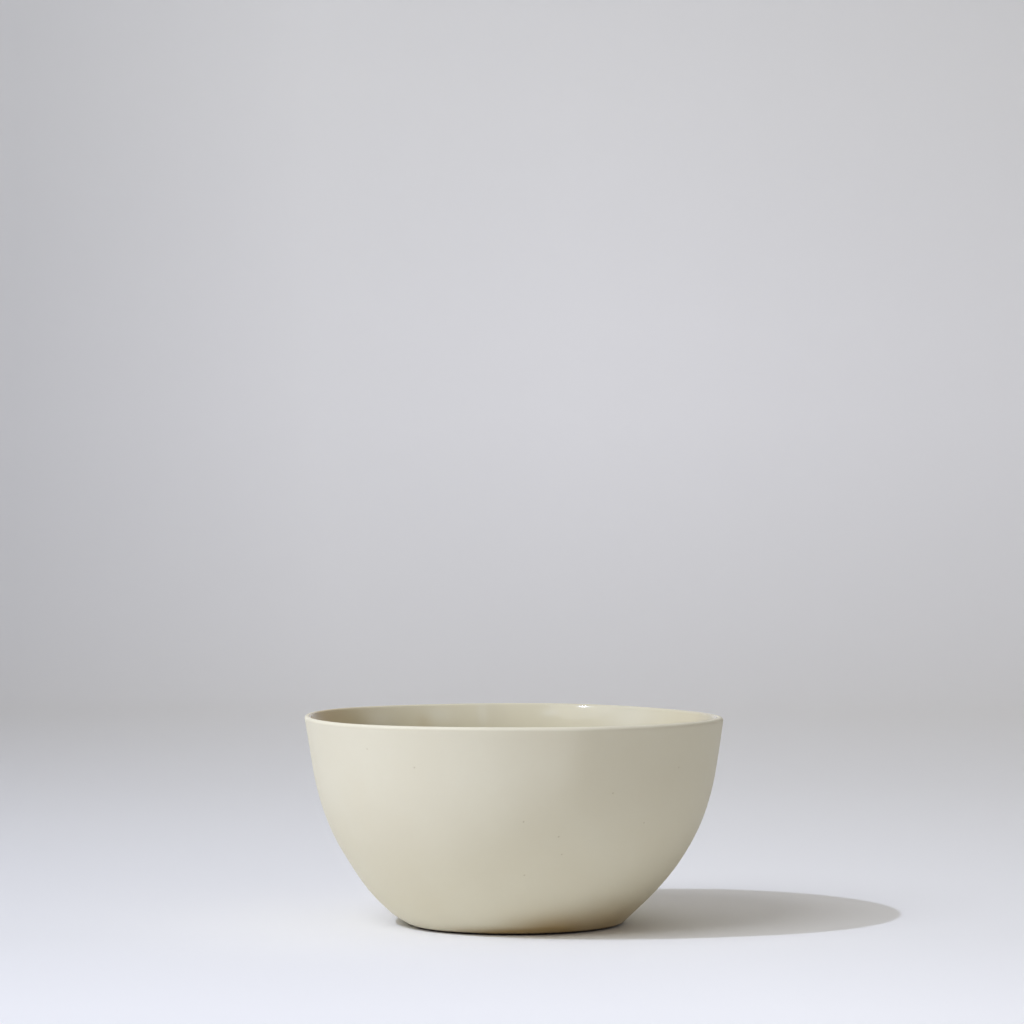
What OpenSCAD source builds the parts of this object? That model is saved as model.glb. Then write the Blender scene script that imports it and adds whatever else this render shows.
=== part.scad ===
// Prep bowl: a thin bowl of pale fired clay, bare and satin outside, lined with a gloss glaze.
// Millimetres, +Z up. The origin is the middle of the plane that the bowl stands on.

/* [Bowl] */
// Outer diameter across the lip
rim_d = 144; // [110:1:190]
// Height from the table to the top of the lip
bowl_h = 72; // [50:1:100]
// Thickness of the clay wall
wall_t = 3.5; // [2.5:0.1:5]
// Thickness of the full-round lip
lip_t = 2.2; // [1.2:0.1:2.4]
// Angle by which the inside leans outwards to thin the wall to its lip
lip_lean = 18; // [14:1:35]
// Thickness of the clay floor at its middle
floor_t = 3.5; // [2.5:0.1:7]

/* [Foot] */
// Diameter of the foot, where the line of the wall would meet the table
foot_d = 75; // [50:1:95]
// Height of the shallow bevel under the foot's edge
foot_bevel_h = 0.7; // [0.3:0.1:1]
// Width of that bevel, from the foot's edge in to the flat ring
foot_bevel_w = 5; // [3.5:0.5:7]
// Radius that rounds the foot's edge
foot_edge_r = 0.8; // [0.3:0.1:3]
// Width of the flat ring that the bowl stands on
foot_ring_w = 8; // [4:0.5:18]
// Rise of the dished underside at its middle
dish_h = 1; // [0.4:0.1:2.5]

/* [Glaze] */
// Thickness of the glaze that lines the inside
glaze_t = 0.4; // [0.2:0.05:1]

/* [Hidden] */

// Stations that the outside of the wall bends round: how far out from foot to rim, and how far up
haunch_shares = [0.455, 0.207];
shoulder_shares = [0.86, 0.5425];
// Where the glaze begins on the turn over the lip, and how thick it is there beside the rest of the lining
glaze_start_share = 0.8;
glaze_edge_share = 0.35;

// Straight steps that follow each round stretch
bend_steps = 12;
lip_steps = 16;
edge_steps = 6;
dish_steps = 6;
turning_steps = 144;

foot_r = foot_d / 2;
rim_r = rim_d / 2;
lip_r = lip_t / 2;
floor_z = dish_h + floor_t;

// Unit vector along v
function along(v) = v / norm(v);

// Vector v turned a quarter turn to the left, which points from the outside of the wall into the clay
function inward(v) = [-v[1], v[0]];

// Vector v turned to the left by an angle
function turned(v, angle) =
    [v[0] * cos(angle) - v[1] * sin(angle), v[0] * sin(angle) + v[1] * cos(angle)];

// The points of a list, last to first
function reversed(list) = [for (i = [len(list) - 1:-1:0]) list[i]];

// Corner c between a and b, moved into the clay by a depth from both its sides
function moved_in(a, c, b, depth) =
    let (before = inward(along(c - a)), after = inward(along(b - c)))
    c + depth * (before + after) / (1 + before * after);

// Corner c between a and b, rounded to a radius
function rounded(a, c, b, radius) =
    let (
        u = along(a - c),
        v = along(b - c),
        half = acos(u * v) / 2,
        centre = c + along(u + v) * radius / sin(half),
        start = c + u * radius / tan(half) - centre
    )
    [for (i = [0:edge_steps]) centre + turned(start, (180 - 2 * half) * i / edge_steps)];

// Curve from a start to an end, whose ends point at a corner
function curve(start, corner, end) =
    [for (i = [1:bend_steps])
        let (s = i / bend_steps)
        start * (1 - s) ^ 2 + 2 * corner * s * (1 - s) + end * s ^ 2];

// Curve that bends at station c, from the middle of the side before it to the middle of the side after it
function bend(a, c, b) = curve((a + c) / 2, c, (c + b) / 2);

// Smooth face from the middle of its first side, round its stations, to its last station
function face(stations) =
    let (last = len(stations) - 1)
    concat(
        [(stations[0] + stations[1]) / 2],
        [for (i = [1:last - 1]) each bend(stations[i - 1], stations[i], stations[i + 1])],
        [stations[last]]
    );

// Outside stations from the foot up, then the straight top of the wall, which runs tangent into the lip
foot = [foot_r, 0];
haunch = [foot_r + haunch_shares[0] * (rim_r - foot_r), haunch_shares[1] * bowl_h];
shoulder = [foot_r + shoulder_shares[0] * (rim_r - foot_r), shoulder_shares[1] * bowl_h];
rise = along(haunch - foot);
lip_centre = [rim_r - lip_r, bowl_h - lip_r];
lip_reach = lip_centre - shoulder;
top_dir = turned(along(lip_reach), -asin(lip_r / norm(lip_reach)));
top = lip_centre - lip_r * inward(top_dir);

// Point on the turn over the lip, at a radius from its centre; step 0 is outside and the last one inside
function over_lip(step, radius) =
    lip_centre + turned(-radius * inward(top_dir), (180 - lip_lean) * step / lip_steps);

// Face that lies a depth inside the outside of the wall, from the axis along a floor and up to the lip
function lining(depth, level) =
    let (
        haunch_in = moved_in(foot, haunch, shoulder, depth),
        shoulder_in = moved_in(haunch, shoulder, top, depth),
        corner = haunch_in - rise * (haunch_in[1] - level) / rise[1],
        axis = [0, level],
        lip_in = over_lip(lip_steps, lip_r + depth - wall_t),
        lean_side = (depth - (lip_in - top) * inward(top_dir)) / sin(lip_lean),
        lean_corner = lip_in - lean_side * turned(top_dir, -lip_lean),
        lean_start = lean_corner - lean_side * top_dir
    )
    concat(
        [axis],
        face([axis, corner, haunch_in, shoulder_in, lean_start]),
        curve(lean_start, lean_corner, lip_in)
    );

// Outline of the clay: dished underside, flat ring, bevelled foot, outside, lip and inside
bevel_top = foot + rise * foot_bevel_h / rise[1];
ring_out = [bevel_top[0] - foot_bevel_w, 0];
ring_in_r = ring_out[0] - foot_ring_w;
underside = [for (i = [0:dish_steps])
    let (s = i / dish_steps)
    [ring_in_r * s, dish_h * (1 - s ^ 2)]];
clay_lip = [for (i = [1:lip_steps - 1]) over_lip(i, lip_r)];
clay_inside = lining(wall_t, floor_z);
clay_outline = concat(
    underside,
    [ring_out],
    rounded(ring_out, bevel_top, haunch, foot_edge_r),
    face([foot, haunch, shoulder, top]),
    clay_lip,
    reversed(clay_inside)
);

// Outline of the glaze: on the clay from the lip down to the axis, then back up its own surface to a thin edge
glaze_start = round(glaze_start_share * lip_steps);
glaze_lip = [for (i = [lip_steps - 1:-1:glaze_start])
    let (fullness = (i - glaze_start) / (lip_steps - glaze_start))
    over_lip(i, lip_r + glaze_t * (glaze_edge_share + (1 - glaze_edge_share) * fullness))];
glaze_outline = concat(
    [for (i = [glaze_start:lip_steps - 1]) over_lip(i, lip_r)],
    reversed(clay_inside),
    lining(wall_t + glaze_t, floor_z + glaze_t),
    glaze_lip
);

// Fired clay body: floor, wall, lip and foot in one piece
module clay_body() {
    color([0.86, 0.84, 0.77])
        rotate_extrude($fn = turning_steps)
            polygon(clay_outline);
}

// Glaze lining, fused to the inside of the clay
module inner_glaze() {
    color([0.80, 0.78, 0.69])
        rotate_extrude($fn = turning_steps)
            polygon(glaze_outline);
}

clay_body();
inner_glaze();
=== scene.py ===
"""Prep bowl of bare satin clay with a gloss glaze inside.

The bowl is dressed on its CAD frame and stands on a pale studio sweep.
"""

import logging
import math
import random
from dataclasses import dataclass
from enum import Enum
from typing import Any, NamedTuple

import bmesh
import bpy
import numpy as np
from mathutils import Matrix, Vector, noise


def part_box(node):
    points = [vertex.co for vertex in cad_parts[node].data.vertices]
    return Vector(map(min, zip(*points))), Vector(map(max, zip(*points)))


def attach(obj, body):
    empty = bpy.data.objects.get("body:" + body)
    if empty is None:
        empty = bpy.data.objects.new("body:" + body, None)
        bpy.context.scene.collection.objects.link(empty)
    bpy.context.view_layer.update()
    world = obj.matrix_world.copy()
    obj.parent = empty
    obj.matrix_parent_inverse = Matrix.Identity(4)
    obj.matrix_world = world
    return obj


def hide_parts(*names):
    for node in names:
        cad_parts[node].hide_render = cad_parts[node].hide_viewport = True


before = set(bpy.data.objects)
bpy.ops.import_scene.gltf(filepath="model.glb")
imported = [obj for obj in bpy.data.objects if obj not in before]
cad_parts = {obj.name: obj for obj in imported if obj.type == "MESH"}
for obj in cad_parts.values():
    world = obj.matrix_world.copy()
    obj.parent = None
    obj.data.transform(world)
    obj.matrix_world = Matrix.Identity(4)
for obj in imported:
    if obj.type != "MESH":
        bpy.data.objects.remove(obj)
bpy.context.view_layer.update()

LOG = logging.getLogger("prep_bowl")
BODY = "root"
# Diameter in metres under which a lamp is a point with a soft edge
SMALL_LAMP = 0.1
# Sockets that carry the colours of a mix node
MIX_COLOURS = (6, 7)
MIX_RESULT = 2
# Most corners of a face that stays whole
QUAD_CORNERS = 4

Colour = tuple[float, float, float]
Place = tuple[float, float, float]
Pair = tuple[float, float]


class NodeKind(Enum):
    """The shader nodes that the finishes are made of."""

    COORDS = "ShaderNodeTexCoord"
    NOISE = "ShaderNodeTexNoise"
    ATTRIBUTE = "ShaderNodeAttribute"
    RAYS = "ShaderNodeLightPath"
    SEPARATE = "ShaderNodeSeparateXYZ"
    RANGE = "ShaderNodeMapRange"
    MIX = "ShaderNodeMix"
    MATH = "ShaderNodeMath"
    BUMP = "ShaderNodeBump"


class Operation(Enum):
    """Ways to join two numbers in a finish."""

    ADD = "ADD"
    SUBTRACT = "SUBTRACT"
    MULTIPLY = "MULTIPLY"
    MAXIMUM = "MAXIMUM"


class Attribute(Enum):
    """Values that the meshes carry for their finishes, from 0 to 1 at each point."""

    PIT = "pit"
    # Painted light on the lip's crest
    PAINTED_LIP_LIGHT = "edge"
    PAINTED_FOOT_SHADE = "blush"
    # Painted reflections on the glaze
    PAINTED_REFLECTIONS = "haze"
    # Painted shade inside the glaze
    PAINTED_GLAZE_SHADE = "stain"


class ShaderTree:
    """A material and short ways to add nodes to it."""

    def __init__(self, name: str) -> None:
        """Starts a material with one principled surface.

        Args:
            name: the material's name.
        """
        self.material = bpy.data.materials.new(name)
        self.material.use_nodes = True
        self.nodes = self.material.node_tree.nodes
        self.links = self.material.node_tree.links
        self.surface = self.nodes["Principled BSDF"]

    def add(self, kind: NodeKind, settings: dict[str, Any] | None = None, **sockets: Any) -> bpy.types.Node:
        """Adds a node.

        Args:
            kind: the node to add.
            settings: the node's own properties.
            sockets: values or output sockets for its inputs, by name, with _ for a space.

        Returns:
            The new node.
        """
        node = self.nodes.new(kind.value)
        for key, value in (settings or {}).items():
            setattr(node, key, value)
        for key, value in sockets.items():
            self.feed(node, key.replace("_", " "), value)
        return node

    def feed(self, node: bpy.types.Node, socket: str, value: Any) -> None:
        """Sets or links an input.

        Args:
            node: the node whose input it is.
            socket: the input's name.
            value: an output socket to link, or a plain value.
        """
        target = next(s for s in node.inputs if s.name == socket and s.enabled)
        if isinstance(value, bpy.types.NodeSocket):
            self.links.new(value, target)
        else:
            target.default_value = value

    def blend(self, share: bpy.types.NodeSocket, first: Any, second: Any) -> bpy.types.NodeSocket:
        """Mixes two colours.

        Args:
            share: how much of the second colour shows, from 0 to 1.
            first: a colour or a colour socket.
            second: a colour or a colour socket.

        Returns:
            The mixed colour.
        """
        node = self.nodes.new(NodeKind.MIX.value)
        node.data_type = "RGBA"
        self.links.new(share, node.inputs["Factor"])
        for slot, value in zip(MIX_COLOURS, (first, second)):
            if isinstance(value, bpy.types.NodeSocket):
                self.links.new(value, node.inputs[slot])
            else:
                node.inputs[slot].default_value = (*value, 1.0)
        return node.outputs[MIX_RESULT]

    def join(self, operation: Operation, first: Any, second: Any) -> bpy.types.NodeSocket:
        """Joins two numbers.

        Args:
            operation: how they are joined.
            first: a number or a number socket.
            second: a number or a number socket.

        Returns:
            The result.
        """
        node = self.add(NodeKind.MATH, {"operation": operation.value})
        for slot, value in enumerate((first, second)):
            if isinstance(value, bpy.types.NodeSocket):
                self.links.new(value, node.inputs[slot])
            else:
                node.inputs[slot].default_value = value
        return node.outputs[0]

    def spread(self, value: bpy.types.NodeSocket, start: Pair, end: Pair) -> bpy.types.NodeSocket:
        """Maps a value from one range to another, clamped.

        Args:
            value: the value to map.
            start: its lowest and highest value.
            end: what these become.

        Returns:
            The mapped value.
        """
        node = self.add(NodeKind.RANGE, Value=value)
        for key, number in zip(("From Min", "From Max", "To Min", "To Max"), (*start, *end)):
            node.inputs[key].default_value = number
        return node.outputs["Result"]

    def mark(self, attribute: Attribute) -> bpy.types.NodeSocket:
        """Reads a value that the mesh carries."""
        return self.add(NodeKind.ATTRIBUTE, {"attribute_name": attribute.value}).outputs["Fac"]


@dataclass(frozen=True)
class Mottle:
    """Unevenness in a finish: its scale per metre, its layers and how strong the finer ones are."""

    scale: float
    detail: float
    roughness: float

    def add_to(self, tree: ShaderTree, place: bpy.types.NodeSocket) -> bpy.types.NodeSocket:
        """Adds the unevenness to a finish.

        Args:
            tree: the finish.
            place: the place on the piece at which it is read.

        Returns:
            Its value, which swings round a half.
        """
        sockets = {"Scale": self.scale, "Detail": self.detail, "Roughness": self.roughness}
        return tree.add(NodeKind.NOISE, Vector=place, **sockets).outputs["Fac"]


class SectionPoint(NamedTuple):
    """A point of the section: radius and height in metres, and its share towards the inside face."""

    r: float
    z: float
    inside: float


def along(v: np.ndarray) -> np.ndarray:
    """Unit vector along v."""
    return v / np.hypot(*v)


def inward(v: np.ndarray) -> np.ndarray:
    """Vector v turned a quarter turn to the left, from the outside of the wall into the clay."""
    return np.array((-v[1], v[0]))


def turned(v: np.ndarray, angle: float) -> np.ndarray:
    """Vector v turned to the left by an angle in radians."""
    c, s = math.cos(angle), math.sin(angle)
    return np.array((v[0] * c - v[1] * s, v[0] * s + v[1] * c))


@dataclass(frozen=True)
class BowlSection:
    """The bowl's section as the solids draw it: stations joined by smooth bends, and a thin round lip.

    Lengths are in metres. The shares place the wall's two outside stations between foot and rim, and say
    where on the turn over the lip the glaze begins and how full it is there.
    """

    rim_r: float
    height: float
    floor_z: float
    wall: float = 0.0035
    lip: float = 0.0022
    lip_lean: float = math.radians(18.0)
    foot_r: float = 0.0375
    foot_edge: float = 0.0008
    bevel_w: float = 0.005
    bevel_h: float = 0.0007
    ring: float = 0.008
    dish: float = 0.001
    glaze: float = 0.0004
    haunch_shares: Pair = (0.455, 0.207)
    shoulder_shares: Pair = (0.86, 0.5425)
    glaze_start_share: float = 0.8
    glaze_edge_share: float = 0.35
    bend_steps: int = 30
    lip_steps: int = 24
    edge_steps: int = 8
    spacing: float = 0.0012

    @property
    def foot(self) -> np.ndarray:
        """Corner of the foot, before its edge is rounded."""
        return np.array((self.foot_r, 0.0))

    @property
    def haunch(self) -> np.ndarray:
        """Lower station of the outside."""
        return self._station(self.haunch_shares)

    @property
    def shoulder(self) -> np.ndarray:
        """Upper station of the outside."""
        return self._station(self.shoulder_shares)

    @property
    def lip_r(self) -> float:
        """Radius of the lip's full round."""
        return self.lip / 2

    @property
    def lip_centre(self) -> np.ndarray:
        """Centre of the lip's round."""
        return np.array((self.rim_r - self.lip_r, self.height - self.lip_r))

    @property
    def top_dir(self) -> np.ndarray:
        """Direction of the wall's straight top, which runs tangent into the lip."""
        reach = self.lip_centre - self.shoulder
        return turned(along(reach), -math.asin(self.lip_r / np.hypot(*reach)))

    @property
    def top(self) -> np.ndarray:
        """End of the straight outside, where the lip begins."""
        return self.lip_centre - self.lip_r * inward(self.top_dir)

    def _station(self, shares: Pair) -> np.ndarray:
        """Station at a share of the flare and a share of the height."""
        return np.array((self.foot_r + shares[0] * (self.rim_r - self.foot_r), shares[1] * self.height))

    def _curve(self, start: np.ndarray, corner: np.ndarray, end: np.ndarray) -> list[np.ndarray]:
        """Curve from a start to an end, whose ends point at a corner."""
        steps = [i / self.bend_steps for i in range(1, self.bend_steps + 1)]
        return [start * (1 - s) ** 2 + 2 * corner * s * (1 - s) + end * s**2 for s in steps]

    def _face(self, stations: list[np.ndarray]) -> list[np.ndarray]:
        """Draws a smooth face.

        Args:
            stations: the corners that it bends round.

        Returns:
            Its points from the middle of the first side to the last station.
        """
        points = [(stations[0] + stations[1]) / 2]
        for a, c, b in zip(stations, stations[1:], stations[2:]):
            points += self._curve((a + c) / 2, c, (c + b) / 2)
        return points + [stations[-1]]

    def _moved_in(self, a: np.ndarray, c: np.ndarray, b: np.ndarray, depth: float) -> np.ndarray:
        """Corner c between a and b, moved into the clay by a depth from both its sides."""
        before, after = inward(along(c - a)), inward(along(b - c))
        return c + depth * (before + after) / (1 + before @ after)

    def _foot_edge(self) -> list[np.ndarray]:
        """Draws the foot's edge: a shallow bevel up from the flat ring, and a small round into the wall.

        Returns:
            Its points, from the flat ring outwards.
        """
        rise = along(self.haunch - self.foot)
        corner = self.foot + rise * self.bevel_h / rise[1]
        ring_out = np.array((corner[0] - self.bevel_w, 0.0))
        u, v = along(ring_out - corner), rise
        half = math.acos(u @ v) / 2
        centre = corner + along(u + v) * self.foot_edge / math.sin(half)
        start = corner + u * self.foot_edge / math.tan(half) - centre
        turn = math.pi - 2 * half
        steps = [i / self.edge_steps for i in range(self.edge_steps + 1)]
        return [ring_out, *(centre + turned(start, turn * s) for s in steps)]

    def _over_lip(self, step: float, radius: float) -> np.ndarray:
        """Point on the turn over the lip: step 0 is outside, and the last one inside."""
        turn = (math.pi - self.lip_lean) * step / self.lip_steps
        return self.lip_centre + turned(-radius * inward(self.top_dir), turn)

    def _lining(self, depth: float, level: float) -> list[np.ndarray]:
        """Draws a face that lies inside the outside of the wall.

        Args:
            depth: how far inside it lies.
            level: the height of its floor.

        Returns:
            Its points from the axis, along the floor and up to the lip.
        """
        haunch_in = self._moved_in(self.foot, self.haunch, self.shoulder, depth)
        shoulder_in = self._moved_in(self.haunch, self.shoulder, self.top, depth)
        slope = along(self.haunch - self.foot)
        corner = haunch_in - slope * (haunch_in[1] - level) / slope[1]
        axis = np.array((0.0, level))
        lip_in = self._over_lip(self.lip_steps, self.lip_r + depth - self.wall)
        lean_side = (depth - (lip_in - self.top) @ inward(self.top_dir)) / math.sin(self.lip_lean)
        lean_corner = lip_in - lean_side * turned(self.top_dir, -self.lip_lean)
        lean_start = lean_corner - lean_side * self.top_dir
        face = self._face([axis, corner, haunch_in, shoulder_in, lean_start])
        return [axis, *face, *self._curve(lean_start, lean_corner, lip_in)]

    def _evened(self, points: list[np.ndarray]) -> list[np.ndarray]:
        """Cuts the long straight stretches of a line to the spacing.

        Args:
            points: the line.

        Returns:
            The same line with more points.
        """
        line = [points[0]]
        for a, b in zip(points, points[1:]):
            cuts = max(1, math.ceil(np.hypot(*(b - a)) / self.spacing))
            line += [a + (b - a) * i / cuts for i in range(1, cuts + 1)]
        return line

    def outside(self) -> list[SectionPoint]:
        """Draws the underside, the foot and the outside of the clay.

        Returns:
            The points from the axis to the lip.
        """
        edge = self._foot_edge()
        ring_in = edge[0][0] - self.ring
        cuts = math.ceil(ring_in / self.spacing)
        steps = [i / cuts for i in range(cuts + 1)]
        dished = [np.array((ring_in * s, self.dish * (1 - s**2))) for s in steps]
        wall = self._face([self.foot, self.haunch, self.shoulder, self.top])
        return [SectionPoint(*p, 0.0) for p in self._evened([*dished, *edge, *wall])]

    def lip_turn(self, first: int = 1) -> list[SectionPoint]:
        """Turn of the clay lip after a step, up to the inside."""
        return [
            SectionPoint(*self._over_lip(i, self.lip_r), i / self.lip_steps)
            for i in range(first, self.lip_steps)
        ]

    def inside(self, depth: float, level: float) -> list[SectionPoint]:
        """Inside face at a depth, from the axis to the lip."""
        return [SectionPoint(*p, 1.0) for p in self._evened(self._lining(depth, level))]

    def clay(self) -> list[SectionPoint]:
        """Outline of the clay: underside, outside, lip and inside."""
        return [*self.outside(), *self.lip_turn(), *reversed(self.inside(self.wall, self.floor_z))]

    def glaze_coat(self) -> list[SectionPoint]:
        """Draws the outline of the glaze.

        Returns:
            The points up its own surface from the axis to a thin edge on the lip, and back down the clay.
        """
        start = round(self.glaze_start_share * self.lip_steps)
        surface = self.inside(self.wall + self.glaze, self.floor_z + self.glaze)
        edge = []
        for i in range(self.lip_steps - 1, start - 1, -1):
            fullness = (i - start) / (self.lip_steps - start)
            depth = self.glaze * (self.glaze_edge_share + (1 - self.glaze_edge_share) * fullness)
            edge.append(SectionPoint(*self._over_lip(i, self.lip_r + depth), i / self.lip_steps))
        return [*surface, *edge, *self.lip_turn(start), *reversed(self.inside(self.wall, self.floor_z))]


@dataclass(frozen=True)
class Ripple:
    """A wave round the bowl: its number of crests, how far it moves the clay and the bearing of a crest."""

    crests: int
    reach: float
    bearing_deg: float

    def at(self, angle: float) -> float:
        """How far the wave moves the clay at an angle."""
        return self.reach * math.cos(self.crests * (angle - math.radians(self.bearing_deg)))


@dataclass(frozen=True)
class SoftSpot:
    """A soft spot on the bowl: its bearing and height, its strength and how far it spreads round and up."""

    bearing_deg: float
    height: float
    strength: float
    turn_deg: float
    rise: float

    def at(self, angle: float, z: float) -> float:
        """Finds what is left of the spot's strength.

        Args:
            angle: an angle round the axis, in radians.
            z: a height.

        Returns:
            The strength there.
        """
        away = math.remainder(angle - math.radians(self.bearing_deg), math.tau)
        turn = away / math.radians(self.turn_deg)
        rise = (z - self.height) / self.rise
        return self.strength * math.exp(-(turn**2 + rise**2) / 2)


@dataclass(frozen=True)
class HandShape:
    """What the hand leaves in the shape: a lip that isn't quite level or round, a sway and an uneven wall.

    The foot's edge is lifted in one spot, from a radius outwards and over a stretch.
    """

    height: float
    rim_r: float
    rim_drop: float = 0.00049
    rim_waves: tuple[Ripple, ...] = (
        Ripple(1, 0.000347, 132.0),
        Ripple(2, 0.00022, 114.0),
        Ripple(3, 0.000083, 56.0),
        Ripple(4, 0.000107, 73.0),
    )
    rim_hold: float = 3.0
    girth_drop: float = 0.00009
    girth_waves: tuple[Ripple, ...] = (Ripple(3, 0.00005, 75.0),)
    sway_heights: tuple[float, ...] = (0.0, 0.1, 0.15, 0.22, 0.29, 0.5, 0.85, 1.0)
    sway_steps: tuple[float, ...] = (-0.00062, -0.00064, -0.00055, -0.00022, 0.00006, 0.0002, 0.00014, 0.0)
    inside_lean: Pair = (-0.00045, 0.0)
    swells: tuple[SoftSpot, ...] = (
        SoftSpot(-72.0, 0.058, 0.001, 6.0, 0.016),
        SoftSpot(-77.0, 0.036, 0.0004, 6.0, 0.008),
        SoftSpot(76.0, 0.068, 0.0007, 6.0, 0.014),
    )
    foot_lift: SoftSpot = SoftSpot(187.0, 0.0007, 0.0012, 15.0, 0.0013)
    lift_from: float = 0.0332
    lift_over: float = 0.004
    lump_reach: float = 0.00048
    lump_size: float = 0.03

    def place(self, point: SectionPoint, angle: float) -> Vector:
        """Puts a point of the section on the bowl.

        Args:
            point: a point of the section.
            angle: its angle round the axis, in radians.

        Returns:
            The point on the hand-made bowl.
        """
        c, s = math.cos(angle), math.sin(angle)
        up = point.z / self.height
        share = up * point.r / self.rim_r
        lump = noise.noise(Vector((point.r * c, point.r * s, point.z)) / self.lump_size)
        girth = sum(wave.at(angle) for wave in self.girth_waves) - self.girth_drop
        swell = sum(spot.at(angle, point.z) for spot in self.swells)
        r = point.r + share * (girth + swell + (1 - up) * self.lump_reach * lump)
        rim = sum(wave.at(angle) for wave in self.rim_waves) - self.rim_drop
        z = point.z + up**self.rim_hold * rim
        lifted = min(max((point.r - self.lift_from) / self.lift_over, 0.0), 1.0) * (1 - point.inside)
        z += lifted * self.foot_lift.at(angle, point.z)
        lean = point.inside * share
        sway = float(np.interp(up, self.sway_heights, self.sway_steps))
        return Vector((r * c + sway + lean * self.inside_lean[0], r * s + lean * self.inside_lean[1], z))


@dataclass
class TurnedPiece:
    """A closed mesh turned from a section, with the hand's unevenness in it."""

    name: str
    section: list[SectionPoint]
    hand: HandShape
    columns: int = 288
    first_turn: float = math.pi / 2
    sharp_deg: float = 40.0
    marks: tuple[Attribute, ...] = ()

    def build(self) -> bpy.types.Object:
        """Makes the mesh.

        Returns:
            The new object, linked to the scene.
        """
        mesh = bpy.data.meshes.new(self.name)
        made = bmesh.new()
        for mark in self.marks:
            made.verts.layers.float.new(mark.value)
        rings = [self._ring(made, point) for point in self.section]
        for low, high in zip(rings, rings[1:]):
            self._band(made, low, high)
        if len(rings[0]) > 1:
            self._band(made, rings[-1], rings[0])
        bmesh.ops.recalc_face_normals(made, faces=made.faces)
        self.detail(made, rings)
        made.to_mesh(mesh)
        made.free()
        mesh.polygons.foreach_set("use_smooth", [True] * len(mesh.polygons))
        mesh.set_sharp_from_angle(angle=math.radians(self.sharp_deg))
        piece = bpy.data.objects.new(self.name, mesh)
        bpy.context.scene.collection.objects.link(piece)
        return piece

    def detail(self, made: bmesh.types.BMesh, rings: list[list[bmesh.types.BMVert]]) -> None:
        """Adds what a piece has beyond its turned form.

        Args:
            made: the mesh in the making.
            rings: its points, ring by ring along the section.
        """

    def angle_of(self, column: int) -> float:
        """Angle of a column of the mesh round the axis."""
        return math.tau * column / self.columns + self.first_turn

    def _ring(self, made: bmesh.types.BMesh, point: SectionPoint) -> list[bmesh.types.BMVert]:
        """Adds one ring of the mesh.

        Args:
            made: the mesh in the making.
            point: the point of the section that the ring goes through.

        Returns:
            The ring's points, or a single one on the axis.
        """
        if point.r <= 0:
            return [made.verts.new((0.0, 0.0, point.z))]
        return [made.verts.new(self.hand.place(point, self.angle_of(i))) for i in range(self.columns)]

    def _band(
        self, made: bmesh.types.BMesh, low: list[bmesh.types.BMVert], high: list[bmesh.types.BMVert]
    ) -> None:
        """Adds the faces between two rings, or from a ring to a point on the axis.

        Args:
            made: the mesh in the making.
            low: the first ring.
            high: the next ring.
        """
        if len(low) == 1 and len(high) == 1:
            return
        for i in range(self.columns):
            j = (i + 1) % self.columns
            corners = [low[i % len(low)], low[j % len(low)], high[j % len(high)], high[i % len(high)]]
            made.faces.new(list(dict.fromkeys(corners)))


@dataclass(frozen=True)
class Pinhole:
    """A pinhole in the clay: its bearing, height and radius."""

    bearing_deg: float
    height: float
    radius: float


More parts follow.
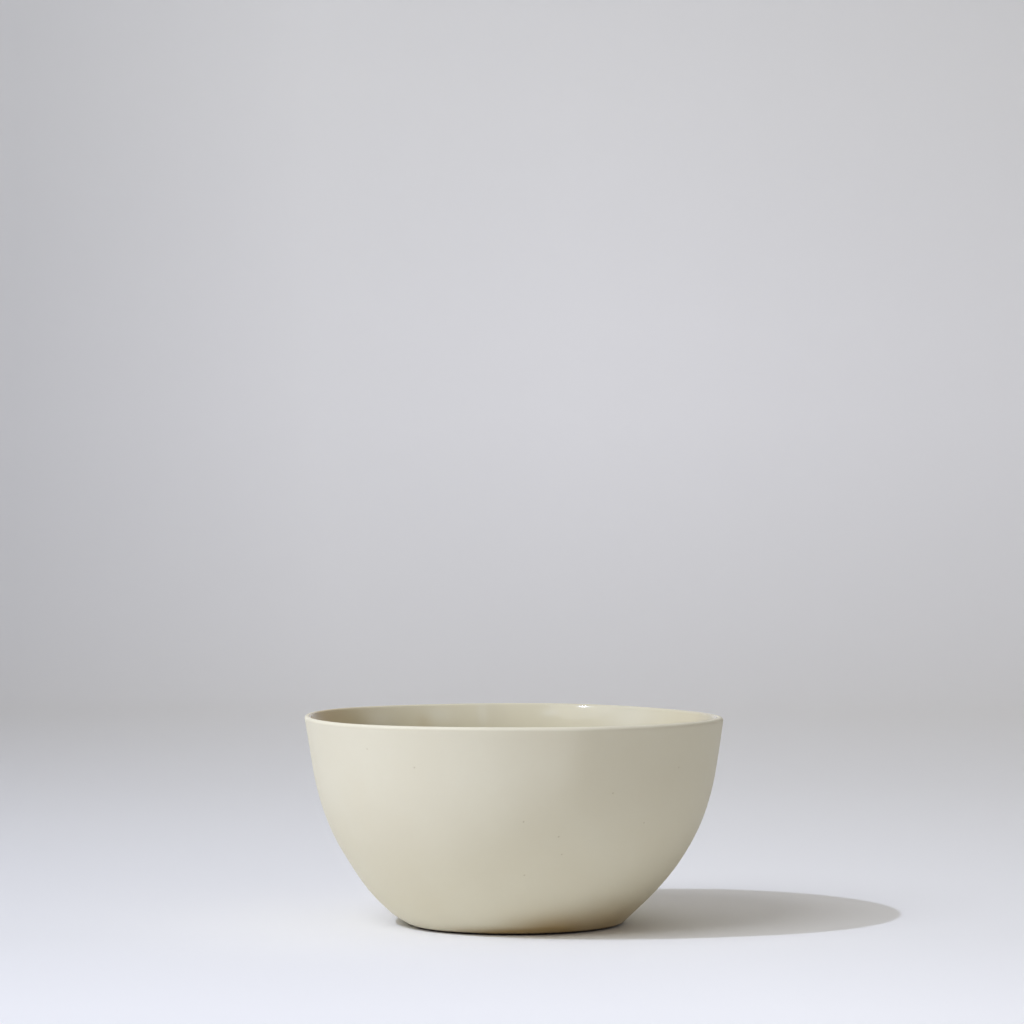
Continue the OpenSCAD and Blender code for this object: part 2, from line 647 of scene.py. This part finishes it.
@dataclass
class ClayShell(TurnedPiece):
    """The turned clay with its pinholes, and marks for its pinholes, painted lip light and painted foot
    shade.
    """

    marks: tuple[Attribute, ...] = (Attribute.PAINTED_LIP_LIGHT, Attribute.PAINTED_FOOT_SHADE, Attribute.PIT)
    # Painted shade: brown spots low on the front right of the foot, where the bowl's shade falls
    blush: tuple[SoftSpot, ...] = (
        SoftSpot(-92.0, 0.0007, 0.9, 16.0, 0.0011),
        SoftSpot(-72.0, 0.0007, 0.63, 13.0, 0.0042),
        SoftSpot(-36.0, 0.0007, 0.6, 20.0, 0.006),
    )
    painted_foot_shade_most: float = 0.82
    pinholes: tuple[Pinhole, ...] = (
        Pinhole(-87.5, 0.0405, 0.0004),
        Pinhole(-77.1, 0.0353, 0.00045),
        Pinhole(-75.4, 0.0291, 0.0004),
        Pinhole(-86.7, 0.022, 0.0004),
        Pinhole(-118.0, 0.0581, 0.0004),
        Pinhole(-62.0, 0.0495, 0.0004),
        Pinhole(-133.4, 0.0637, 0.00035),
        Pinhole(-49.3, 0.0388, 0.0004),
        Pinhole(-38.6, 0.0569, 0.0004),
    )
    seed: int = 7
    spare_pinholes: int = 26
    spare_bearings: Pair = (0.0, 180.0)
    spare_heights: Pair = (0.012, 0.065)
    spare_radii: Pair = (0.0003, 0.0005)
    pinhole_depth: float = 0.4
    pinhole_range: float = 2.0
    pinhole_cuts: int = 7

    def detail(self, made: bmesh.types.BMesh, rings: list[list[bmesh.types.BMVert]]) -> None:
        """Marks the painted lip light and foot shade, and sinks the pinholes seen in front and others round
        the back.

        Args:
            made: the mesh in the making.
            rings: its points, ring by ring along the section.
        """
        self._mark(made, rings)
        self._sink(made, rings)

    def _mark(self, made: bmesh.types.BMesh, rings: list[list[bmesh.types.BMVert]]) -> None:
        """Marks the painted light on the lip's crest and the painted shade low on the front right of the
        foot.

        Args:
            made: the mesh in the making.
            rings: its points, ring by ring along the section.
        """
        # Painted light: the lip is painted paler, most at its crest
        edge = made.verts.layers.float[Attribute.PAINTED_LIP_LIGHT.value]
        # Painted shade low on the front right of the foot, capped
        blush = made.verts.layers.float[Attribute.PAINTED_FOOT_SHADE.value]
        for point, ring in zip(self.section, rings):
            for column, vert in enumerate(ring):
                vert[edge] = math.sin(math.pi * point.inside)
                toned = sum(spot.at(self.angle_of(column), point.z) for spot in self.blush)
                vert[blush] = min(self.painted_foot_shade_most, toned) * (1 - point.inside)

    def _spare(self) -> list[Pinhole]:
        """Draws the pinholes round the back.

        Returns:
            The same pinholes on each run.
        """
        draw = random.Random(self.seed)
        spans = (self.spare_bearings, self.spare_heights, self.spare_radii)
        return [Pinhole(*(draw.uniform(*span) for span in spans)) for _ in range(self.spare_pinholes)]

    def _sink(self, made: bmesh.types.BMesh, rings: list[list[bmesh.types.BMVert]]) -> None:
        """Sinks the pinholes: cuts the faces round each one finer, and presses their points in.

        Args:
            made: the mesh in the making.
            rings: its points, ring by ring along the section.
        """
        pit = made.verts.layers.float[Attribute.PIT.value]
        holes = [(pinhole, *self._seat(rings, pinhole)) for pinhole in (*self.pinholes, *self._spare())]
        near = [face for _, middle, _, _ in holes for face in middle.link_faces]
        sides = list(dict.fromkeys(side for face in near for side in face.edges))
        cut = bmesh.ops.subdivide_edges(made, edges=sides, cuts=self.pinhole_cuts, use_grid_fill=True)
        for vert in dict.fromkeys(part for part in cut["geom"] if isinstance(part, bmesh.types.BMVert)):
            for pinhole, _, centre, inwards in holes:
                offset = vert.co - centre
                reach = (offset - inwards * offset.dot(inwards)).length / pinhole.radius
                if reach < 1 and offset.length < self.pinhole_range * pinhole.radius:
                    fullness = (1 - reach**2) ** 2
                    vert.co += inwards * fullness * pinhole.radius * self.pinhole_depth
                    vert[pit] = fullness
        # The cuts leave many-sided faces round each pinhole
        many_sided = [face for face in made.faces if len(face.verts) > QUAD_CORNERS]
        bmesh.ops.triangulate(made, faces=many_sided, ngon_method="BEAUTY")

    def _seat(
        self, rings: list[list[bmesh.types.BMVert]], pinhole: Pinhole
    ) -> tuple[bmesh.types.BMVert, Vector, Vector]:
        """Finds a pinhole's place on the outside.

        Args:
            rings: the mesh's points, ring by ring along the section.
            pinhole: the pinhole to place.

        Returns:
            The nearest point of the mesh, the pinhole's centre, and the way into the clay there.
        """
        outside = [i for i, point in enumerate(self.section) if point.inside == 0 and point.r > 0]
        row = min(outside, key=lambda i: abs(self.section[i].z - pinhole.height))
        angle = math.radians(pinhole.bearing_deg)
        column = round((angle - self.first_turn) / math.tau * self.columns) % self.columns
        middle = rings[row][column]
        across = Vector((-math.sin(angle), math.cos(angle), 0.0))
        inwards = -middle.normal
        up = inwards.cross(across).normalized()
        up = up if up.z > 0 else -up
        turn = math.remainder(angle - self.angle_of(column), math.tau)
        point = self.section[row]
        centre = middle.co + across * turn * point.r + up * (pinhole.height - point.z)
        return middle, centre, inwards.copy()


@dataclass
class GlazeCoat(TurnedPiece):
    """The turned glaze, with marks for its painted reflections and painted shade."""

    marks: tuple[Attribute, ...] = (Attribute.PAINTED_REFLECTIONS, Attribute.PAINTED_GLAZE_SHADE)
    # Painted reflections: pale spots on the far inside near the lip
    haze: tuple[SoftSpot, ...] = (
        SoftSpot(136.0, 0.0666, 1.0, 4.5, 0.003),
        SoftSpot(113.0, 0.068, 0.45, 3.0, 0.002),
        SoftSpot(79.0, 0.0687, 0.6, 1.6, 0.001),
        SoftSpot(99.4, 0.0685, 0.4, 1.0, 0.003),
        SoftSpot(52.0, 0.0675, 0.5, 7.0, 0.004),
    )
    # Painted shade: darker brown spots inside near the lip, most at the left end, which lies in shade
    stain: tuple[SoftSpot, ...] = (
        SoftSpot(170.0, 0.07, 0.95, 19.0, 0.011),
        SoftSpot(118.5, 0.0655, 0.3, 1.6, 0.002),
        SoftSpot(16.0, 0.07, 0.22, 14.0, 0.008),
    )

    def detail(self, made: bmesh.types.BMesh, rings: list[list[bmesh.types.BMVert]]) -> None:
        """Marks the painted reflections and the painted shade on the film.

        Args:
            made: the mesh in the making.
            rings: its points, ring by ring along the section.
        """
        for mark, spots in ((Attribute.PAINTED_REFLECTIONS, self.haze), (Attribute.PAINTED_GLAZE_SHADE, self.stain)):
            layer = made.verts.layers.float[mark.value]
            for point, ring in zip(self.section, rings):
                for column, vert in enumerate(ring):
                    vert[layer] = min(1.0, sum(spot.at(self.angle_of(column), point.z) for spot in spots))


@dataclass(frozen=True)
class BareClay:
    """Fired clay with no glaze, rubbed to a satin: a pale stone tone, softly mottled, with a sandy skin.

    The tone is painted dark under the foot's edge and brown low on the front right as shade, and paler on
    the lip's crest as light.
    """

    tone: Colour = (0.73, 0.685, 0.563)
    deep_tone: Colour = (0.718, 0.669, 0.545)
    pit_tone: Colour = (0.56, 0.50, 0.38)
    # Painted light: the lip's crest is painted paler, as the light that its top catches
    painted_lip_light_tone: Colour = (0.80, 0.745, 0.585)
    roughness: Pair = (0.52, 0.64)
    mottle: Mottle = Mottle(38.0, 4.0, 0.55)
    mottle_span: Pair = (0.35, 0.65)
    rough_span: Pair = (0.3, 0.7)
    grain: Mottle = Mottle(1100.0, 3.0, 0.6)
    grain_depth: float = 0.00003
    ior: float = 1.45
    shine: float = 0.3
    # Painted shade: the clay is painted dark under the foot's edge, as the contact shade there
    painted_contact_shade_tone: Colour = (0.15, 0.10, 0.06)
    painted_contact_shade_span: Pair = (0.0005, 0.0011)
    # Colour of the painted shade low on the front right of the foot
    painted_foot_shade_tone: Colour = (0.44, 0.288, 0.10)

    def material(self) -> bpy.types.Material:
        """Makes the finish.

        Returns:
            The material.
        """
        tree = ShaderTree("bare_clay")
        place = tree.add(NodeKind.COORDS).outputs["Object"]
        height = tree.add(NodeKind.SEPARATE, Vector=place).outputs["Z"]
        mottle = self.mottle.add_to(tree, place)
        grain = self.grain.add_to(tree, place)
        colour = tree.blend(tree.spread(mottle, self.mottle_span, (0.0, 1.0)), self.tone, self.deep_tone)
        # Painted light: paler on the lip's crest
        colour = tree.blend(tree.mark(Attribute.PAINTED_LIP_LIGHT), colour, self.painted_lip_light_tone)
        # Painted shade: browner low on the front right of the foot
        colour = tree.blend(tree.mark(Attribute.PAINTED_FOOT_SHADE), colour, self.painted_foot_shade_tone)
        # Painted contact shade under the foot's edge
        colour = tree.blend(tree.spread(height, self.painted_contact_shade_span, (1.0, 0.0)), colour, self.painted_contact_shade_tone)
        colour = tree.blend(tree.mark(Attribute.PIT), colour, self.pit_tone)
        tree.feed(tree.surface, "Base Color", colour)
        tree.feed(tree.surface, "Roughness", tree.spread(mottle, self.rough_span, self.roughness))
        tree.feed(tree.surface, "IOR", self.ior)
        tree.feed(tree.surface, "Specular IOR Level", self.shine)
        bump = tree.add(NodeKind.BUMP, Height=grain, Distance=self.grain_depth, Strength=1.0)
        tree.feed(tree.surface, "Normal", bump.outputs["Normal"])
        return tree.material


@dataclass(frozen=True)
class GlossGlaze:
    """Clear gloss glaze over the clay: a wetter, slightly olive tone that deepens where it pools.

    The tone is painted pale where it stands in for reflections, and painted brown where it stands in for
    shade.
    """

    tone: Colour = (0.732, 0.678, 0.505)
    pooled_tone: Colour = (0.62, 0.57, 0.43)
    painted_reflection_tone: Colour = (0.80, 0.765, 0.63)
    painted_glaze_shade_tone: Colour = (0.585, 0.465, 0.275)
    roughness: Pair = (0.06, 0.085)
    ior: float = 1.46
    shine: float = 0.2
    pool_span: Pair = (0.004, 0.03)
    cloud: Mottle = Mottle(45.0, 3.0, 0.5)
    cloud_span: Pair = (0.35, 0.65)
    cloud_share: float = 0.35
    rough_span: Pair = (0.3, 0.7)
    swell: Mottle = Mottle(70.0, 1.0, 0.4)
    swell_depth: float = 0.00004

    def material(self) -> bpy.types.Material:
        """Makes the finish.

        Returns:
            The material.
        """
        tree = ShaderTree("gloss_glaze")
        place = tree.add(NodeKind.COORDS).outputs["Object"]
        height = tree.add(NodeKind.SEPARATE, Vector=place).outputs["Z"]
        cloud = self.cloud.add_to(tree, place)
        swell = self.swell.add_to(tree, place)
        pooled = tree.spread(height, self.pool_span, (1.0, 0.0))
        clouded = tree.spread(cloud, self.cloud_span, (0.0, self.cloud_share))
        deep = tree.join(Operation.MAXIMUM, pooled, clouded)
        colour = tree.blend(deep, self.tone, self.pooled_tone)
        # Painted reflections: paler spots on the glaze
        colour = tree.blend(tree.mark(Attribute.PAINTED_REFLECTIONS), colour, self.painted_reflection_tone)
        # Painted shade: browner spots on the glaze
        colour = tree.blend(tree.mark(Attribute.PAINTED_GLAZE_SHADE), colour, self.painted_glaze_shade_tone)
        tree.feed(tree.surface, "Base Color", colour)
        tree.feed(tree.surface, "Roughness", tree.spread(cloud, self.rough_span, self.roughness))
        tree.feed(tree.surface, "IOR", self.ior)
        tree.feed(tree.surface, "Specular IOR Level", self.shine)
        bump = tree.add(NodeKind.BUMP, Height=swell, Distance=self.swell_depth, Strength=1.0)
        tree.feed(tree.surface, "Normal", bump.outputs["Normal"])
        return tree.material


@dataclass(frozen=True)
class SweepPaper:
    """Pale matt paper of the sweep: cool to the eye, and warmer in the light that it throws on the bowl.

    The spans are in metres across, back and up on the sweep.
    The glow shows to the eye and in reflections alone.
    """

    tone: Colour = (0.926, 0.916, 0.908)
    # Painted shade: the paper is painted darker to the left, where the light falls off
    painted_left_shade_tone: Colour = (0.768, 0.76, 0.76)
    thrown_tone: Colour = (0.975, 0.955, 0.86)
    glow_tone: Colour = (0.985, 0.975, 1.12)
    roughness: float = 0.9
    shine: float = 0.2
    painted_left_shade_span: Pair = (-0.2, 0.05)
    painted_left_shade_slant: float = 0.12
    glow_across: Pair = (-0.6, 0.05)
    glow_back: Pair = (0.65, 1.75)
    glow_up: Pair = (0.02, 0.22)
    glow_fade: Pair = (0.3, 0.6)
    glow_right: Pair = (0.15, 0.5)
    glow_front: Pair = (-0.04, -0.22)
    back_glow: float = 0.06
    up_glow: float = 0.062
    fade_glow: float = 0.078
    right_share: float = 0.68
    front_glow: float = 0.055

    def material(self) -> bpy.types.Material:
        """Makes the finish.

        Returns:
            The material.
        """
        tree = ShaderTree("sweep_paper")
        place = tree.add(NodeKind.SEPARATE, Vector=tree.add(NodeKind.COORDS).outputs["Object"]).outputs
        rays = tree.add(NodeKind.RAYS).outputs
        seen = tree.join(Operation.MAXIMUM, rays["Is Camera Ray"], rays["Is Glossy Ray"])
        seen = tree.join(Operation.MAXIMUM, seen, rays["Is Transmission Ray"])
        # Painted shade to the left, whose edge runs slantwise
        slant = tree.join(Operation.MULTIPLY, place["Y"], self.painted_left_shade_slant)
        slant = tree.join(Operation.ADD, place["X"], slant)
        toned = tree.blend(tree.spread(slant, self.painted_left_shade_span, (0.0, 1.0)), self.painted_left_shade_tone, self.tone)
        tree.feed(tree.surface, "Base Color", tree.blend(seen, self.thrown_tone, toned))
        glow = tree.spread(place["Y"], self.glow_back, (0.0, self.back_glow))
        for operation, axis, start, end in (
            (Operation.ADD, "Z", self.glow_up, (0.0, self.up_glow)),
            (Operation.SUBTRACT, "Z", self.glow_fade, (0.0, self.fade_glow)),
            (Operation.MULTIPLY, "X", self.glow_across, (0.0, 1.0)),
            (Operation.MULTIPLY, "X", self.glow_right, (1.0, self.right_share)),
            (Operation.ADD, "Y", self.glow_front, (0.0, self.front_glow)),
        ):
            glow = tree.join(operation, glow, tree.spread(place[axis], start, end))
        tree.feed(tree.surface, "Emission Color", (*self.glow_tone, 1.0))
        tree.feed(tree.surface, "Emission Strength", tree.join(Operation.MULTIPLY, glow, seen))
        tree.feed(tree.surface, "Roughness", self.roughness)
        tree.feed(tree.surface, "Specular IOR Level", self.shine)
        return tree.material


@dataclass
class ClayBody:
    """The fired clay body: floor, wall, lip and foot."""

    section: BowlSection
    hand: HandShape
    finish: BareClay
    node: str = "clay_body"
    slot: str = "bare_clay"

    def build(self) -> bpy.types.Object:
        """Makes the body, dresses it and puts it in the frame."""
        piece = ClayShell("fired_clay", self.section.clay(), self.hand).build()
        return dressed(piece, self.finish.material(), self.node)


@dataclass
class GlazeLining:
    """The glaze coat, fused to the inside of the clay."""

    section: BowlSection
    hand: HandShape
    finish: GlossGlaze
    node: str = "inner_glaze"
    slot: str = "gloss_glaze"

    def build(self) -> bpy.types.Object:
        """Makes the lining, dresses it and puts it in the frame."""
        piece = GlazeCoat("glaze_lining", self.section.glaze_coat(), self.hand).build()
        return dressed(piece, self.finish.material(), self.node)


def dressed(
    piece: bpy.types.Object, material: bpy.types.Material, node: str
) -> bpy.types.Object:
    """Gives a piece its finish and its place in the frame.

    Args:
        piece: the piece to dress.
        material: its finish.
        node: the CAD node that it stands for.

    Returns:
        The piece.
    """
    piece.data.materials.append(material)
    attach(piece, BODY)
    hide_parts(node)
    return piece


@dataclass(frozen=True)
class Lamp:
    """A round lamp that faces the bowl: its name, place, power, diameter and colour."""

    name: str
    place: Place
    watts: float
    diameter: float
    colour: Colour = (1.0, 1.0, 1.0)
    target: Place = (0.0, 0.0, 0.03)

    def build(self) -> None:
        """Puts the lamp in the scene."""
        small = self.diameter < SMALL_LAMP
        lamp = bpy.data.lights.new(self.name, "POINT" if small else "AREA")
        lamp.energy = self.watts
        lamp.color = self.colour
        if small:
            lamp.shadow_soft_size = self.diameter / 2
        else:
            lamp.shape = "DISK"
            lamp.size = self.diameter
        stand = bpy.data.objects.new(self.name, lamp)
        stand.location = self.place
        aim = Vector(self.target) - Vector(self.place)
        stand.rotation_euler = aim.to_track_quat("-Z", "Y").to_euler()
        bpy.context.scene.collection.objects.link(stand)


@dataclass
class Studio:
    """The sweep, the lamps and the camera that stand round the bowl."""

    paper: SweepPaper
    floor_front: float = -3.0
    bend_start: float = 1.35
    bend_r: float = 0.5
    wall_top: float = 3.0
    half_width: float = 3.0
    bend_steps: int = 48
    key: Lamp = Lamp("key", (-0.901, -0.54, 1.13), 40.3, 0.024, (0.709, 0.787, 1.0))
    soft: Lamp = Lamp("soft_key", (-0.832, -0.749, 1.2), 10.8, 1.1, (0.885, 0.915, 0.97))
    top: Lamp = Lamp("top", (0.0, 0.0, 1.8), 3.0, 1.6)
    sky: Colour = (1.03, 1.0, 1.0)
    sky_strength: float = 0.27
    camera_place: Place = (-0.00072, -1.2531, 0.1414)
    lens_mm: float = 128.0
    sensor_mm: float = 36.0

    def build(self) -> None:
        """Sets up the whole studio."""
        self._sweep()
        for lamp in (self.key, self.soft, self.top):
            lamp.build()
        self._world()
        self._camera()

    def _sweep(self) -> None:
        """Floor that bends up into a backdrop."""
        line = [(self.floor_front, 0.0), (self.bend_start, 0.0)]
        for i in range(1, self.bend_steps + 1):
            turn = math.pi / 2 * i / self.bend_steps
            back = self.bend_start + self.bend_r * math.sin(turn)
            line.append((back, self.bend_r * (1 - math.cos(turn))))
        line.append((line[-1][0], self.wall_top))
        verts = [(x, y, z) for y, z in line for x in (-self.half_width, self.half_width)]
        faces = [(2 * i, 2 * i + 1, 2 * i + 3, 2 * i + 2) for i in range(len(line) - 1)]
        mesh = bpy.data.meshes.new("sweep")
        mesh.from_pydata(verts, [], faces)
        mesh.polygons.foreach_set("use_smooth", [True] * len(mesh.polygons))
        mesh.materials.append(self.paper.material())
        sweep = bpy.data.objects.new("sweep", mesh)
        bpy.context.scene.collection.objects.link(sweep)

    def _world(self) -> None:
        """Even soft light from all round."""
        world = bpy.data.worlds.new("soft_light")
        world.use_nodes = True
        sky = world.node_tree.nodes["Background"]
        sky.inputs["Color"].default_value = (*self.sky, 1.0)
        sky.inputs["Strength"].default_value = self.sky_strength
        bpy.context.scene.world = world

    def _camera(self) -> None:
        """Level camera in front of the bowl."""
        data = bpy.data.cameras.new("camera")
        data.lens = self.lens_mm
        data.sensor_width = self.sensor_mm
        camera = bpy.data.objects.new("camera", data)
        camera.location = self.camera_place
        camera.rotation_euler = (math.pi / 2, 0.0, 0.0)
        bpy.context.scene.collection.objects.link(camera)
        bpy.context.scene.camera = camera


def main() -> None:
    """Builds the bowl and its studio, and reports each piece."""
    logging.basicConfig(level=logging.INFO, format="%(name)s: %(message)s")
    bpy.context.scene.view_settings.view_transform = "Standard"
    low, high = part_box("clay_body")
    section = BowlSection(rim_r=(high.x - low.x) / 2, height=high.z, floor_z=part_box("inner_glaze")[0].z)
    hand = HandShape(height=section.height, rim_r=section.rim_r)
    for assembly in (ClayBody(section, hand, BareClay()), GlazeLining(section, hand, GlossGlaze())):
        piece = assembly.build()
        LOG.info("%s stands for %s with %d faces", piece.name, assembly.node, len(piece.data.polygons))
    Studio(SweepPaper()).build()


if __name__ == "__main__":
    main()
